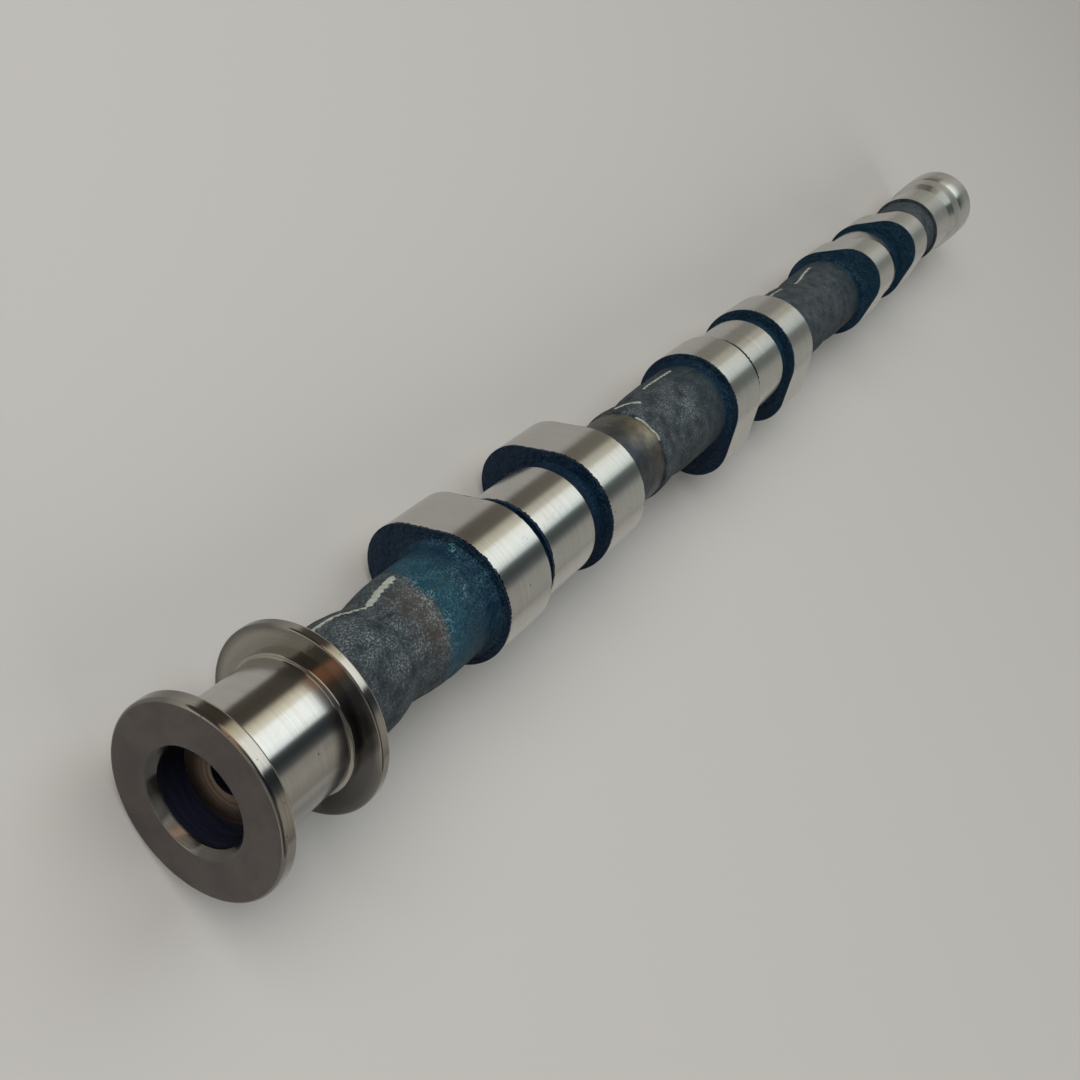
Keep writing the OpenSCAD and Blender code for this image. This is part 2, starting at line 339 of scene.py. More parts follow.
finishes = {"ground": groundIron(), "turned": turnedIron("Turned iron", turnedLook),
            "seat": turnedIron("Browned drill cone", seatLook), "face": dullFace(), "bore": shadedBore(),
            "cast": castSkin(), "band": turnedBand()}
finishNames = list(finishes)
print("materials made")

# The whole shaft is one closed skin: a circle drawn out ring by ring from the bottom of the threaded
# hole, out of the bore, over the flange and along the shaft to its far face.
ringPoints = 180
alongShaft = Matrix(((0, 0, 1, 0), (1, 0, 0, 0), (0, 1, 0, 0), (0, 0, 0, 1)))


def polar(angle, r):
    return r * math.cos(math.radians(angle)), r * math.sin(math.radians(angle))


def angleOf(point):
    return math.degrees(math.atan2(point.z, point.y))


def turnAngle(angle):
    return (angle + 180) % 360 - 180


def ramp(value, low, high):
    return min(max((value - low) / (high - low), 0.0), 1.0)


def steps(start, end, count):
    return [start + (end - start) * i / count for i in range(1, count + 1)]


def startSkin(x, radius):
    skin = {"mesh": bmesh.new(), "rings": 1}
    skin["layers"] = {name: skin["mesh"].verts.layers.float.new(name)
                      for name in ("dye", "flash", "wear_and_highlight", "smoothness", "oil_film_and_shade")}
    made = bmesh.ops.create_circle(skin["mesh"], cap_ends=True, segments=ringPoints, radius=radius * mm,
                                   matrix=Matrix.Translation((x * mm, 0, 0)) @ alongShaft)
    skin["edges"] = list({e for v in made["verts"] for e in v.link_edges})
    for face in skin["mesh"].faces:
        face.material_index = finishNames.index("bore")
    return skin


# Draws the skin on to a new ring. x and radius may be functions of the angle. crease marks the ring
# that is left as a sharp edge; bare is how far the new one is given the pale flash colour, by its angle, which on the
# shoulder's lip is a painted highlight.
def addRing(skin, x, radius, finish, crease=False, bare=None):
    made = bmesh.ops.extrude_edge_only(skin["mesh"], edges=skin["edges"])["geom"]
    ring = {g for g in made if isinstance(g, bmesh.types.BMVert)}
    for face in (g for g in made if isinstance(g, bmesh.types.BMFace)):
        face.material_index = finishNames.index(finish)
        face.smooth = True
    if crease:
        for edge in skin["edges"]:
            edge.smooth = False
    for v in ring:
        angle = angleOf(v.co)
        r = radius(angle) if callable(radius) else radius
        y, z = polar(angle, r)
        v.co = Vector((x(angle, r) if callable(x) else x, y, z)) * mm
        v[skin["layers"]["flash"]] = bare(angle) if bare else 0.0
    skin["edges"] = list({e for v in ring for e in v.link_edges if e.verts[0] in ring and e.verts[1] in ring})
    skin["rings"] += 1


def plainLength(skin, x0, x1, r, finish, count=3, crease=False):
    for i, x in enumerate(steps(x0, x1, count)):
        addRing(skin, x, r, finish, crease and i == 0)


# A rounded edge or fillet: an arc about (x, r) from one angle to another, 0 along +x and 90 outwards
def addArc(skin, x, r, size, start, end, finish, count=4, crease=True):
    for i, turn in enumerate(steps(math.radians(start), math.radians(end), count)):
        addRing(skin, x + size * math.cos(turn), r + size * math.sin(turn), finish, crease and i == 0)


# Lumps of the cast skin. The first neck is swollen where its dye lies.
lumpSizes = {"fine": 1.4, "fineDepth": 0.07, "broad": 5.0, "broadDepth": 0.09, "swollenFrom": (50.5, 54),
             "swollenEnd": 66, "swollenDepth": 0.12}


def castLump(x, angle, r):
    s = lumpSizes
    place = Vector((x, *polar(angle, r)))
    broad = s["broadDepth"] + (s["swollenDepth"] * ramp(x, *s["swollenFrom"]) if x < s["swollenEnd"] else 0)
    return (s["fineDepth"] * noise.noise(place / s["fine"])
            + broad * noise.noise(place / s["broad"] + Vector((7, 3, 1))))


# Parting flash: dressed strokes along the two parting lines, each a run of (x, angle) with its width
flashSizes = {"r": 11.0, "height": 0.3, "steepness": 1.6, "reach": 28, "strokes": (
    (0.85, ((29.5, 19.5), (31.4, 20.0), (34.6, 20.8), (37.1, 23.2))),
    (0.6, ((37.1, 24.5), (38.4, 28.6), (41.0, 29.9), (43.4, 31.5))),
    (1.5, ((43.4, 30.5), (46.0, 27.8), (48.3, 27.3), (50.4, 26.3))),
    (0.85, ((136.4, 17.6), (140.4, 24.4), (142.0, 29.5))),
    (1.3, ((142.0, 29.5), (143.3, 34.0))),
    (0.7, ((151.0, 20.3), (157.6, 21.5), (163.9, 24.6))),
    (0.9, ((247.6, 30.4), (255.0, 27.6), (265.3, 22.6))),
    (0.9, ((232.0, 21.0), (240.0, 24.0)))),
    "hidden": ((1.4, ((29.0, 205.0), (48.0, 205.0))), (1.3, ((140.0, 204.0), (166.0, 204.0))),
               (1.4, ((230.0, 205.0), (270.0, 205.0))), (1.3, ((336.0, 204.0), (360.0, 204.0))))}


# How near a place is to the middle of a stroke: 1 on its middle, 0 outside it
def flashShare(x, angle):
    share, margin, r = 0.0, 2, flashSizes["r"]
    for width, points in flashSizes["strokes"] + flashSizes["hidden"]:
        beside = abs(turnAngle(angle - points[0][1])) > flashSizes["reach"]
        if beside or not points[0][0] - margin < x < points[-1][0] + margin:
            continue
        for (xa, aa), (xb, ab) in zip(points, points[1:]):
            start = Vector((xa, 0.0))
            run = Vector((xb - xa, math.radians(ab - aa) * r))
            here = Vector((x, math.radians(turnAngle(angle - aa)) * r)) - start
            along = min(max(here.dot(run) / run.length_squared, 0), 1)
            gap = (here - run * along).length
            share = max(share, 1 - gap / width)
    return share


def castLength(skin, x0, x1, profile, spacing, finish="cast"):
    for x in steps(x0, x1, max(1, round((x1 - x0) / spacing))):
        def radius(a):
            raised = flashSizes["height"] * min(1.0, flashSizes["steepness"] * flashShare(x, a))
            return profile(x) + castLump(x, a, profile(x)) + raised
        addRing(skin, x, radius, finish)


# Cam: base circle, two straight flanks and a nose arc, as in the part's source
camSizes = {"base": 13.5, "lift": 5.2, "flank": 66, "width": 15, "edge": 0.05, "ragged": 0.3, "tooth": 0.9,
            "margin": 1.0, "faceRings": 7, "faceLump": 0.8, "inside": 0.03}
camFlank = math.radians(camSizes["flank"])
camOffset = camSizes["lift"] / (1 - math.cos(camFlank))
camNose = camSizes["base"] + camSizes["lift"] - camOffset
camTurn = math.degrees(math.atan2(camNose * math.sin(camFlank), camOffset + camNose * math.cos(camFlank)))


def camRadius(angle):
    angle = abs(turnAngle(angle))
    if angle >= camSizes["flank"]:
        return camSizes["base"] - camSizes["inside"]
    if angle > camTurn:
        return camSizes["base"] / math.cos(math.radians(camSizes["flank"] - angle)) - camSizes["inside"]
    a = math.radians(angle)
    return camOffset * math.cos(a) + math.sqrt(camNose ** 2 - (camOffset * math.sin(a)) ** 2) - camSizes["inside"]


# A cam's cast side, drawn outwards from innerR to the cam's outline or inwards from it
def camFace(skin, x, noseAngle, innerR, outwards):
    count = camSizes["faceRings"]
    shares = steps(0, 1, count) if outwards else [i / count for i in range(count - 1, -1, -1)]
    for i, share in enumerate(shares):
        addRing(skin, lambda a, r: x + castLump(x, a, r) * camSizes["faceLump"],
                lambda a: innerR + (camRadius(a - noseAngle) - camSizes["edge"] - innerR) * share, "cast",
                i == 0 and not outwards)


# The ground track starts and ends at a ragged line, where the wheel met the rough side
def raggedEdge(skin, x, outline, side, finish, start=0.1):
    def torn(a, r):
        depth = abs(noise.noise(Vector((x, *polar(a, r))) / camSizes["tooth"]))
        return x + side * (start + camSizes["ragged"] * depth)
    addRing(skin, torn, outline, finish, side > 0)


def addCam(skin, x0, noseAngle, innerFront, innerRear):
    x1 = x0 + camSizes["width"]
    trackStart, trackEnd = x0 + camSizes["margin"], x1 - camSizes["margin"]

    def outline(a):
        return camRadius(a - noseAngle)

    camFace(skin, x0, noseAngle, innerFront, True)
    raggedEdge(skin, x0, outline, 1, "cast")
    addRing(skin, trackStart, outline, "ground", True)
    plainLength(skin, trackStart, trackEnd, outline, "ground")
    raggedEdge(skin, x1, outline, -1, "ground")
    addRing(skin, x1, lambda a: outline(a) - camSizes["edge"], "cast", True)
    camFace(skin, x1, noseAngle, innerRear, False)


# Nose: threaded hole, counterbore, flange, thrust journal, relief ring and collar
noseSizes = {"flangeR": 16.7, "flangeT": 2.9, "journalR": 12.0, "collarR": 16.88, "collarX": 22.2, "collarEnd": 24.2,
             "boreR": 8.3, "boreDepth": 6.3, "boreFillet": 0.3, "coreR": 3.4, "floorX": 7.1, "coreEnd": 31.1,
             "tipX": 32.9, "tipR": 0.3, "mouthR": 9.4, "mouthDepth": 1.4, "edgeBreak": 0.1, "faceRings": (11.5, 14.0),
             "round": 0.75, "rearRound": 0.4, "journalFillet": 0.35, "reliefX": 20.7, "reliefR": 12.6,
             "reliefFillet": 0.25, "reliefRound": 0.3, "neckR": 11.0, "neckFillet": 1.2, "neckStart": 25.28,
             "pitch": 1.25, "threadDepth": 0.55, "threadTurns": 7}


# The thread fades in and out over a turn; its depth follows the angle, so that it winds
def threadRadius(x):
    n = noseSizes
    fade = min(1, max(0, (x - n["floorX"]) / n["pitch"])) * min(1, max(0, threadEnd - x))
    return lambda a: n["coreR"] + fade * n["threadDepth"] * abs(2 * ((x / n["pitch"] - a / 360) % 1) - 1)


# A disc's rim with both edges rounded
def addRim(skin, x0, x1, r, front, rear, frontFinish="turned"):
    addArc(skin, x0 + front, r - front, front, 180, 155, frontFinish, 2, frontFinish == "turned")
    addArc(skin, x0 + front, r - front, front, 155, 90, "turned", 4, False)
    addRing(skin, x1 - rear, r, "turned", True)
    addArc(skin, x1 - rear, r - rear, rear, 90, 0, "turned", 4)


n = noseSizes
skin = startSkin(n["tipX"], n["tipR"])
addRing(skin, n["coreEnd"], n["coreR"], "bore")
threadEnd = n["floorX"] + n["pitch"] * n["threadTurns"]
plainLength(skin, n["coreEnd"], threadEnd, n["coreR"], "bore", 4, True)
for x in steps(threadEnd, n["floorX"], n["threadTurns"] * 4):
    addRing(skin, x, threadRadius(x), "bore")
addRing(skin, n["floorX"] - 0.12, n["coreR"] + 0.2, "seat", True)
addRing(skin, n["boreDepth"] + n["edgeBreak"], n["boreR"] - 0.35, "seat")
addArc(skin, n["boreDepth"], n["boreR"] - n["boreFillet"], n["boreFillet"], 60, 0, "bore", 3)
plainLength(skin, n["boreDepth"], n["mouthDepth"] + n["edgeBreak"], n["boreR"], "bore", 3, True)
addRing(skin, n["mouthDepth"] - n["edgeBreak"], n["boreR"] + 0.06, "turned", True)
addRing(skin, n["edgeBreak"], n["mouthR"] - n["edgeBreak"], "turned", True)
addRing(skin, 0.0, n["mouthR"] + 0.08, "turned")
for i, r in enumerate((*n["faceRings"], n["flangeR"] - n["round"])):
    addRing(skin, 0.0, r, "face", i == 0)
addRim(skin, 0.0, n["flangeT"], n["flangeR"], n["round"], n["rearRound"], "face")
size = n["journalFillet"]
addRing(skin, n["flangeT"], n["journalR"] + size, "turned", True)
addArc(skin, n["flangeT"] + size, n["journalR"] + size, size, 180, 270, "turned", 3)
plainLength(skin, n["flangeT"] + size, n["reliefX"] - n["reliefFillet"], n["journalR"], "ground", 4, True)
size = n["reliefFillet"]
addArc(skin, n["reliefX"] - size, n["journalR"] + size, size, 270, 360, "turned", 3)
size = n["reliefRound"]
addArc(skin, n["reliefX"] + size, n["reliefR"] - size, size, 180, 90, "turned", 4)
addRing(skin, n["collarX"], n["reliefR"], "turned", True)
for i, r in enumerate(steps(n["reliefR"], n["collarR"] - n["rearRound"], 3)):
    addRing(skin, n["collarX"], r, "turned", i == 0)
addRim(skin, n["collarX"], n["collarEnd"], n["collarR"], n["rearRound"], n["rearRound"])
size = n["neckFillet"]
addRing(skin, n["collarEnd"], n["neckR"] + size, "turned", True)
addArc(skin, n["neckStart"], n["neckR"] + size, size, 206, 270, "cast", 4)
print("nose made")


# Cast necks: where each ends, its two peaks with its waist between them, and the waist's depth. A
# fillet meets a face at a slight angle, its middle a little less than its size away.
neckSizes = {"r": 11.0, "frontFillet": 1.8, "rearFillet": 1.2, "filletReach": 0.9, "webR": 10.8,
             "first": (64.4, 33.85, 42.29, 54.75, 1.5), "second": (170.4, 135.6, 144.75, 153.9, 0.85),
             "third": (276.4, 239.5, 251.3, 262.0, 0.85), "last": (364.6, 339.5, 347.85, 356.2, 0.85)}
filletTurn = math.degrees(math.acos(neckSizes["filletReach"]))


# How far a bowed length has sunk below its peak
def bow(x, peak, waist, depth):
    run = waist - peak
    bowR = (run * run + depth * depth) / (2 * depth)
    return math.sqrt(max(bowR ** 2 - (x - peak) ** 2, 0)) - bowR


# Radius at which a fillet of this size meets the face beside a neck of radius r
def filletTop(r, size):
    return r + size * (1 - math.sqrt(1 - neckSizes["filletReach"] ** 2))


def addNeck(skin, name, spacing, start):
    end, front, waist, rear, depth = neckSizes[name]

    def profile(x):
        r = neckSizes["r"]
        if front < x <= waist:
            r += bow(x, front, waist, depth)
        elif waist < x < rear:
            r += bow(x, rear, waist, depth)
        return r

    if name == "last":
        castLength(skin, start, end, profile, spacing)
        return
    size = neckSizes["frontFillet"]
    middle = end - neckSizes["filletReach"] * size
    castLength(skin, start, middle, profile, spacing)
    for turn in steps(270, 360 - filletTurn, 6):
        along, outwards = polar(turn, size)
        r = neckSizes["r"] + size + outwards
        addRing(skin, middle + along, lambda a: r + castLump(end, a, r), "cast")


# Inner bearings: front face and cam noses of each. The second has a fine line turned round it.
bearingSizes = {"faces": (82.5, 188.5, 294.5), "noses": (326, 206, 86), "r": 12.0, "width": 17.0, "frontGap": 3.1,
                "rearGap": 4.6, "edge": 0.3, "frontEdges": (0.2, 0.03, 0.05), "linedBearing": 1, "lineAt": 8.0,
                "lineWidth": 0.3, "lineDepth": 0.02}


def addBearingGroup(skin, index, rearR):
    b, web, size = bearingSizes, neckSizes["webR"], neckSizes["rearFillet"]
    x, nose = b["faces"][index], b["noses"][index]
    x1 = x + b["width"]
    addCam(skin, x - b["frontGap"] - camSizes["width"], nose, filletTop(neckSizes["r"], neckSizes["frontFillet"]), web)
    plainLength(skin, x - b["frontGap"], x, web, "cast", 2, True)
    addRing(skin, x, b["r"] - camSizes["edge"], "cast", True)
    raggedEdge(skin, x, b["r"], 1, "cast", b["frontEdges"][index])
    start = x + camSizes["margin"]
    addRing(skin, start, b["r"], "ground", True)
    if index == b["linedBearing"]:
        line, half = x + b["lineAt"], b["lineWidth"] / 2
        plainLength(skin, start, line - half, b["r"], "ground", 2, True)
        addRing(skin, line, b["r"] - b["lineDepth"], "ground", True)
        addRing(skin, line + half, b["r"], "ground", True)
        start = line + half
    plainLength(skin, start, x1 - b["edge"], b["r"], "ground", 3, True)
    addArc(skin, x1 - b["edge"], b["r"] - b["edge"], b["edge"], 90, 0, "ground", 3)
    addRing(skin, x1, web, "cast", True)
    x2 = x1 + b["rearGap"]
    plainLength(skin, x1, x2, web, "cast", 2, True)
    addCam(skin, x2, nose, web, filletTop(rearR, size))
    neckStart = x2 + camSizes["width"] + neckSizes["filletReach"] * size
    addArc(skin, neckStart, rearR + size, size, 180 + filletTurn, 270, "cast", 4, False)
    return neckStart


# Turned band: its cut ends in an uneven little shoulder, whose lip is painted pale where it is uppermost, as a painted
# highlight.
# The shoulder wanders over millimetres and is torn in tenths; its lip steps out as (x, radius).
bandSizes = {"end": 135.6, "r": 10.6, "inside": 0.04, "spacing": 0.9, "stop": 0.5, "shoulderX": 135.25,
             "wander": (0.55, 3.0), "torn": (0.2, 0.9), "foot": 10.55, "lip": ((0.08, 10.66), (0.2, 10.9)),
             "lipEnd": 0.4, "lipHighlightTop": 71, "lipHighlightReach": (23, 17), "neckStart": 136.6}


def shoulder(a, r, ahead=0.0):
    place = Vector((0, *polar(a, r)))
    wander, wanderSize = bandSizes["wander"]
    torn, tornSize = bandSizes["torn"]
    return (bandSizes["shoulderX"] + ahead + wander * noise.noise(place / wanderSize)
            + torn * noise.noise((place + Vector((5, 0, 0))) / tornSize))


# painted highlight: the lip gets the pale flash colour where it is uppermost
def lipHighlight(a):
    return ramp(abs(a - bandSizes["lipHighlightTop"]), *bandSizes["lipHighlightReach"])


addNeck(skin, "first", 0.55, n["neckStart"])
start = addBearingGroup(skin, 0, bandSizes["r"])
castLength(skin, start, bandSizes["end"] - bandSizes["stop"], lambda x: bandSizes["r"] - bandSizes["inside"],
           bandSizes["spacing"], "band")
addRing(skin, shoulder, bandSizes["foot"], "band")
for i, (ahead, r) in enumerate(bandSizes["lip"]):
    addRing(skin, lambda a, r: shoulder(a, r, ahead), r, "cast", i == 0, lipHighlight)
addRing(skin, lambda a, r: shoulder(a, r, bandSizes["lipEnd"]), neckSizes["r"], "cast")
addNeck(skin, "second", 0.65, bandSizes["neckStart"])
start = addBearingGroup(skin, 1, neckSizes["r"])
addNeck(skin, "third", 1.0, start)
start = addBearingGroup(skin, 2, neckSizes["r"])
addNeck(skin, "last", 1.5, start)
print("cams and necks made")

# Tail: journal, rise, shallow groove and raised end, ground in one pass, so that its corners are soft
tailSizes = {"x": 364.6, "r": 12.0, "edge": 0.3, "raise": 382.1, "grooveX": 386.6, "grooveR": 13.1,
             "grooveEnd": 395.1, "endR": 13.38, "end": 410.6, "round": 0.8, "farRings": (9.0, 5.0)}
t = tailSizes
addRing(skin, t["x"], t["r"] - t["edge"], "cast", True)
addArc(skin, t["x"] + t["edge"], t["r"] - t["edge"], t["edge"], 180, 90, "cast", 3)
plainLength(skin, t["x"] + t["edge"], t["raise"] - 0.4, t["r"], "ground", 2, True)
addRing(skin, t["raise"] + 0.3, t["r"] + 0.04, "ground")
addRing(skin, t["grooveX"] - 0.3, t["grooveR"] - 0.06, "ground")
addRing(skin, t["grooveX"] + 0.3, t["grooveR"], "ground")
plainLength(skin, t["grooveX"] + 0.3, t["grooveEnd"] - 0.4, t["grooveR"], "ground", 3)
addRing(skin, t["grooveEnd"], t["grooveR"] + 0.05, "ground")
addRing(skin, t["grooveEnd"] + 0.5, t["endR"] - 0.05, "ground")
plainLength(skin, t["grooveEnd"] + 0.9, t["end"] - t["round"], t["endR"], "ground", 2)
addArc(skin, t["end"] - t["round"], t["endR"] - t["round"], t["round"], 90, 0, "ground", 6)
for i, r in enumerate(t["farRings"]):
    addRing(skin, t["end"], r, "face", i == 0)
for face in bmesh.ops.holes_fill(skin["mesh"], edges=skin["edges"], sides=0)["faces"]:
    face.material_index = finishNames.index("face")
bmesh.ops.recalc_face_normals(skin["mesh"], faces=skin["mesh"].faces)


# Blue dye. On the first neck, edge is the x of its edge at each angle round the shaft; it is thin there
# and thicker further back. On the next two it fills the fillet in front of the cam, and it fades on the
# last. On the cams it is thick at the nose's end of the shaft and wiped thinner towards the tail.
dyeSizes = {"edge": ((-180, 49.6), (-90, 51.5), (0, 53.6), (21, 52.7), (57, 50.6), (82, 50.6), (110, 49.7),
                     (151, 48.9), (180, 49.6)),
            "neckR": 12.2, "noseEnd": 24.5, "firstEnd": 64.3, "thin": 0.27, "edgeRun": (-0.8, 1.2), "thick": 0.5,
            "thickRun": (3.5, 12.5), "necks": ((119.6, 170.3, 168.0, 168.6), (225.6, 276.3, 273.8, 274.6)),
            "lastStart": 331, "lastRun": (338, 331), "lastThin": 0.25, "wiped": 0.3, "wipedRun": (150, 270)}


def dyeEdge(angle):
    for (a0, x0), (a1, x1) in zip(dyeSizes["edge"], dyeSizes["edge"][1:]):
        if a0 <= angle <= a1:
            return x0 + (x1 - x0) * (angle - a0) / (a1 - a0)
    return dyeSizes["edge"][0][1]


# Depth of the dye: none on bare slate, 1 where it is thick on the cams' sides
def dyeAt(x, angle, r):
    s = dyeSizes
    if x < s["noseEnd"]:
        return 0.0
    if x > s["lastStart"]:
        return s["lastThin"] * ramp(x, *s["lastRun"])
    if x < s["firstEnd"] and r < s["neckR"]:
        past = x - dyeEdge(angle)
        return s["thin"] * ramp(past, *s["edgeRun"]) + s["thick"] * ramp(past, *s["thickRun"])
    for start, end, low, high in s["necks"]:
        if start < x < end and r < s["neckR"]:
            return ramp(x, low, high)
    return 1.0 - s["wiped"] * ramp(x, *s["wipedRun"])


# How smooth the skin is: the cams' sides are pebbly at the nose's end, and the necks get smoother
# towards the tail, the first one also where its dye lies
smoothSizes = {"neckR": 12.2, "cams": 0.25, "camRun": (90, 240), "first": 0.15, "more": 0.5, "neckRun": (150, 240),
               "dyed": 0.35, "dyedFrom": (50, 52), "dyedTo": (62, 70)}


def smoothnessAt(x, r):
    s = smoothSizes
    if r > s["neckR"]:
        return s["cams"] * ramp(x, *s["camRun"])
    dyed = ramp(x, *s["dyedFrom"]) - ramp(x, *s["dyedTo"])
    return s["first"] + s["more"] * ramp(x, *s["neckRun"]) + s["dyed"] * dyed


# Painted highlight with some wear, most on the shaft's upper side, where the light falls. spots are painted
# highlights, each by its x, its angle and its radius.
# The band is golden on top, towards its shoulder, and blue underneath and beside the cam: wear, with painted highlight
# on top and painted shade underneath.
wearAndHighlightSizes = {"top": 68, "reach": 74, "least": 0.32, "most": 1.0, "spotGain": 1.6, "neckR": 11,
             "highlightSpots": ((53.0, 66, 2.2), (58.5, 84, 3.0), (63.6, 42, 2.4), (153.0, 77, 8.0)),
             "groupShare": 0.15, "camR": 12.9, "group": (-3.2, 21.7), "dyed": (52, 65), "dyedShare": 0.35,
             "second": (138, 171), "secondShare": 0.75, "secondLoss": 0.5, "secondRun": (156, 163),
             "tailLoss": 0.6, "tailRun": (160, 240), "band": (119, 136), "bandLeast": 0.12, "bandSide": 20,
             "bandSideShare": 0.15, "bandSideReach": (60, 20), "bandTopShare": 0.75, "bandRun": (125, 134)}


# how much of the painted highlight each part gets: little on the cams' sides and in the bearing groups
def wearAndHighlightShare(x, r, onSpot):
    s = wearAndHighlightSizes
    before, behind = s["group"]
    if r > s["camR"] or any(face + before < x < face + behind for face in bearingSizes["faces"]):
        return s["groupShare"]
    if s["dyed"][0] < x < s["dyed"][1] and not onSpot:
        return s["dyedShare"]
    if s["second"][0] < x < s["second"][1] and not onSpot:
        return s["secondShare"] - s["secondLoss"] * ramp(x, *s["secondRun"])
    return s["most"] - s["tailLoss"] * ramp(x, *s["tailRun"])


def wearAndHighlightAt(x, angle, r):
    s = wearAndHighlightSizes
    top = 1 - min(abs(turnAngle(angle - s["top"])) / s["reach"], 1)
    if s["band"][0] < x < s["band"][1]:
        side = s["bandSideShare"] * ramp(abs(turnAngle(angle - s["bandSide"])), *s["bandSideReach"])
        return s["bandLeast"] + side + s["bandTopShare"] * top * ramp(x, *s["bandRun"])
    for middle, at, wide in s["highlightSpots"]:
        if abs(x - middle) < 2 * wide:
            away = math.hypot(x - middle, math.radians(turnAngle(angle - at)) * s["neckR"])
            top = max(top, s["spotGain"] * max(1 - away / wide, 0))
    return (s["least"] + (s["most"] - s["least"]) * top) * wearAndHighlightShare(x, r, top >= 1)


# Old oil on the necks and in the tail's groove, and painted shade elsewhere. Each patch has the x and the radius it
# lies between, how strong it is, and how it fades along
# the shaft or round it: fades round it give the angle of its middle, and the gap from there.
oilAndShadePatches = (
    {"name": "first neck's brown", "x": (25, 64), "r": (0, 20), "strength": 0.6,
     "along": ((42, 48), (51, 49)), "round": ((78, 55, 25),)},
    {"name": "second neck's rear", "x": (138, 169), "r": (0, 20), "strength": 0.6, "along": ((156, 167),)},
    {"name": "third neck's rear", "x": (225.5, 275), "r": (0, 20), "strength": 0.5, "along": ((260, 272),)},
    {"name": "third neck's front", "x": (225.5, 275), "r": (0, 20), "strength": 0.35, "along": ((236, 227),)},
    # painted shade: the lower part of both rims, a sector of the collar's face, both edges of the mouth and the top of
    # the tail's rise are darkened
    {"name": "lower part of both rims", "x": (-1, 25), "r": (16.2, 20), "strength": 0.6, "round": ((80, 40, 58),)},
    {"name": "collar's face", "x": (22.1, 22.3), "r": (0, 16.2), "strength": 0.75, "round": ((150, 62, 48),)},
    {"name": "mouth's lower edge", "x": (-1, 1.5), "r": (0, 9.6), "strength": 0.85, "round": ((-28, 62, 40),)},
    {"name": "mouth's upper edge", "x": (-1, 1.5), "r": (0, 9.6), "strength": 0.7, "round": ((172, 60, 44),)},
    {"name": "tail's rise", "x": (381.9, 386.8), "r": (0, 20), "strength": 0.5, "round": ((67, 32, 14),)})
# painted shade: the thrust journal is darkened away from its top, more on one side than on the other
thrustShade = {"x": (3, 20.6), "r": (11.9, 12.1), "middle": 80, "right": (0.6, 46, 58), "left": (0.3, 68, 80)}
grooveOil = {"x": (386.8, 395), "strength": 0.45, "smudge": 4.5, "more": 0.25, "along": ((385.5, 388), (394.5, 391))}


def oilAndShadeAt(x, angle, r):
    share = 0.0
    for patch in oilAndShadePatches:
        if patch["x"][0] < x < patch["x"][1] and patch["r"][0] < r < patch["r"][1]:
            part = patch["strength"]
            for low, high in patch.get("along", ()):
                part *= ramp(x, low, high)
            for middle, low, high in patch.get("round", ()):
                part *= ramp(abs(turnAngle(angle - middle)), low, high)
            share += part
    s = thrustShade
    if s["x"][0] < x < s["x"][1] and s["r"][0] < r < s["r"][1]:
        turned = turnAngle(angle - s["middle"])
        share += s["right"][0] * ramp(turned, *s["right"][1:]) + s["left"][0] * ramp(-turned, *s["left"][1:])
    s = grooveOil
    if s["x"][0] <= x < s["x"][1]:
        smudge = max(noise.noise(Vector((2, *polar(angle, r))) / s["smudge"]) + s["more"], 0)
        share += s["strength"] * smudge * ramp(x, *s["along"][0]) * ramp(x, *s["along"][1])
    return share


# The ground tracks are bare, and only their front edges are torn
trackSizes = {"r": 13.3, "ends": (-3.1, 36.6), "edge": (0.06, 1.2), "flashed": (25, 364), "neckR": 12,
              "wornFrom": 225, "worn": 0.75}
camEnds = [face + step for face in bearingSizes["faces"] for step in trackSizes["ends"]]
layers = skin["layers"]
for v in skin["mesh"].verts:
    x, angle, r = v.co.x / mm, angleOf(v.co), math.hypot(v.co.y, v.co.z) / mm
    near, far = trackSizes["edge"]
    bare = all(face.material_index == finishNames.index("ground") for face in v.link_faces)
    bare = bare or (r > trackSizes["r"] and any(near < end - x < far for end in camEnds))
    v[layers["dye"]] = 0.0 if bare else dyeAt(x, angle, r)
    if trackSizes["flashed"][0] < x < trackSizes["flashed"][1] and r < trackSizes["neckR"]:
        worn = trackSizes["worn"] if x > trackSizes["wornFrom"] else 1
        v[layers["flash"]] = max(v[layers["flash"]], flashShare(x, angle) * worn)
    v[layers["smoothness"]] = smoothnessAt(x, r)
    v[layers["wear_and_highlight"]] = wearAndHighlightAt(x, angle, r)
    v[layers["oil_film_and_shade"]] = oilAndShadeAt(x, angle, r)

shaftMesh = bpy.data.meshes.new("camshaft_casting")
skin["mesh"].to_mesh(shaftMesh)
skin["mesh"].free()
for name in finishNames:
    shaftMesh.materials.append(finishes[name])
halfLength = t["end"] / 2 * mm
shaftMesh.use_auto_texspace = False  # so that the tangents turn round the shaft's own axis
shaftMesh.texspace_location = (halfLength, 0, 0)
shaftMesh.texspace_size = (halfLength, 0.02, 0.02)
shaft = bpy.data.objects.new("camshaft_casting", shaftMesh)
bpy.context.scene.collection.objects.link(shaft)
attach(shaft, "root")
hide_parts("camshaft")
print("shaft made:", skin["rings"], "rings,", len(shaftMesh.polygons), "faces")

